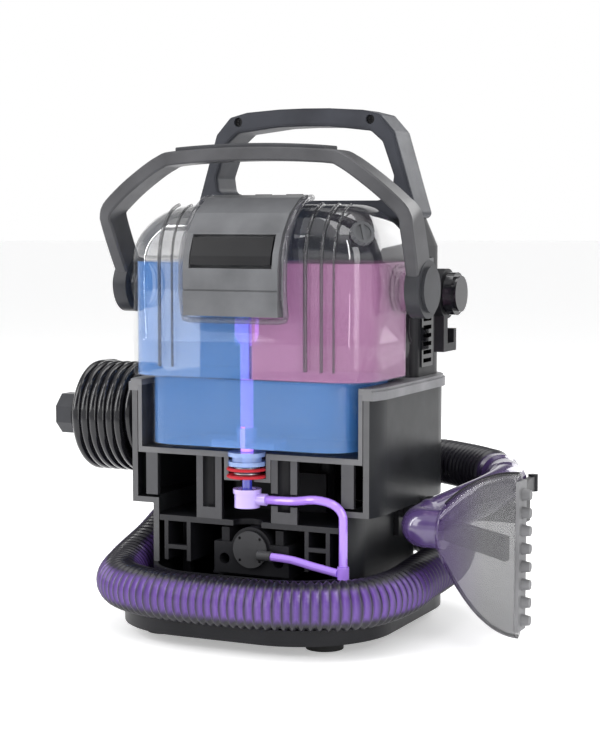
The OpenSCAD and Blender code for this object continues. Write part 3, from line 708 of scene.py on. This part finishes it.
def nozzle_material():
    """Smoked clear plastic that turns purple towards the neck."""
    s = Shader("nozzle_smoke_purple")
    split = s.node("ShaderNodeSeparateXYZ")
    s.link(s.place.outputs["Object"], split.inputs["Vector"])
    span = s.node("ShaderNodeMapRange")
    span.inputs["From Min"].default_value = at(TOOL_X, 0, 0).x
    span.inputs["From Max"].default_value = at(TOOL_X + MOUTH * 0.6, 0, 0).x
    s.link(split.outputs["X"], span.inputs["Value"])
    colour = s.ramp(span.outputs["Result"], (0.06, 0.025, 0.13), (0.13, 0.13, 0.135), 0.0, 1.0)
    s.link(colour, s.main.inputs["Base Color"])
    s.vary_roughness(30, 0.03, 0.07)
    s.set(Alpha=0.42, IOR=1.5, Coat_Weight=0.6, Coat_Roughness=0.02)
    return s.mat


def make_nozzle(mats):
    steps = 22
    mesh = bmesh.new()
    outer = [nozzle_ring(mesh, i / steps, 0) for i in range(steps + 1)]
    inner = [nozzle_ring(mesh, i / steps, 1.8) for i in range(steps + 1)]
    for rings in (outer, inner):
        for a, b in zip(rings, rings[1:]):
            for k in range(48):
                mesh.faces.new((a[k], a[(k + 1) % 48], b[(k + 1) % 48], b[k])).smooth = True
    for a, b in ((outer[0], inner[0]), (outer[-1], inner[-1])):
        for k in range(48):
            mesh.faces.new((a[k], a[(k + 1) % 48], b[(k + 1) % 48], b[k]))
    nozzle = finish_mesh("nozzle_clear_shell", mesh, nozzle_material(), "machine")
    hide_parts("nozzle_shell")
    mesh = bmesh.new()
    for low_z, rise in ((97.5, 27), (67.5, -52)):
        shares = [i / steps for i in range(1, steps + 1)]
        edge = [at(TOOL_X + MOUTH * t, TOOL_Y, low_z + rise * math.sin(math.pi / 2 * t**0.82)) for t in shares]
        tube_rings(mesh, evenly(edge, 0.002), lambda i: 0.0014, 10, Vector((0, 1, 0)))
    rim = finish_mesh("nozzle_rim", mesh, mats["latch"], "machine")
    return nozzle


TOOL_ROUTE = [
    (136, 72, 107), (151, 52, 107), (158, 30, 106), (154, 6, 102), (142, -14, 96),
    (128, -27, 89), (121, -36, 85), (124, -42, 84), (132, -42, 84), (140, -42, 84),
]  # fmt: skip


def make_tool_handle(mats):
    """The hand tool's tubular handle, swept smoothly from the hose's end to the nozzle's neck."""
    path = evenly(smooth_route([at(*p) for p in TOOL_ROUTE], 10), 0.002)

    def radius_at(i):
        """The tube with a collar where the hose ends, and a shallow ring every 80 mm."""
        collar = 0.0016 if i < 8 else 0
        ring = 0.0008 if i % 40 in (20, 21) else 0
        return 0.0135 + collar + ring

    mesh = bmesh.new()
    tube_rings(mesh, path, radius_at, 40)
    handle = finish_mesh("tool_handle_smooth", mesh, mats["purple_core"], "machine")
    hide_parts("tool_handle")
    return handle


# ---------------------------------------------------------------- carried-over nodes

FINISHES = {
    "black": ["base_pan", "cord_spindle", "tower_shell", "rear_cover", "strain_relief", "power_plug",
              "hose_outlet", "spray_trigger", "tool_cradle", "side_hook", "bail_grip", "fan_housing"],
    "gloss_black": ["vent_grille", "hinge_barrels", "side_post"],
    "handle": ["handle_front", "handle_rear"],
    "bail": ["bail_arms"],
    "panel": ["latch_panel", "fill_cap", "power_button"],
    "hub": ["bail_hubs", "spindle_cap"],
    "rubber": ["rubber_feet"],
    "housing": ["base_housing"],
    "rim": ["housing_rim"],
    "well": ["tank_well"],
    "boss": ["screw_bosses"],
    "tooth": ["brush_teeth"],
    "frame": ["inner_frame", "pump_bracket"],
    "pump": ["pump_housing", "pump_head"],
    "steel": ["pump_motor", "vacuum_motor", "fan_impeller", "valve_spring"],
    "seal": ["valve_seals"],
    "lilac": ["valve_receiver"],
    "tube": ["feed_tube_upper", "feed_tube_lower", "tube_elbow"],
    "mixer_painted_glow": ["mixing_tube", "mixing_head"],
    "latch": ["latch_bar", "handle_screws"],
    "clear": ["tank_shell", "trunnions"],
    "wall": ["chamber_wall"],
    "valve": ["tank_valve_body"],
    "water": ["clean_water"],
    "formula": ["formula"],
    "deep_blue": ["valve_stem"],
    "smoke": ["nozzle_shell"],
    "duct": ["nozzle_duct"],
    "purple_core": ["tool_handle"],
}  # fmt: skip


def finish_nodes(mats):
    for finish, names in FINISHES.items():
        for name in names:
            data = nodes[name].data
            data.materials.clear()
            data.materials.append(mats[finish])


make_camera()
materials = make_materials()
make_hose(materials)
make_cord(materials)
make_tank(materials)
make_door_frame(materials)
make_tank_ribs(materials)
make_bail(materials)
make_nozzle(materials)
make_tool_handle(materials)
finish_nodes(materials)
make_floor()
make_light()
bpy.context.scene.view_settings.view_transform = "Standard"
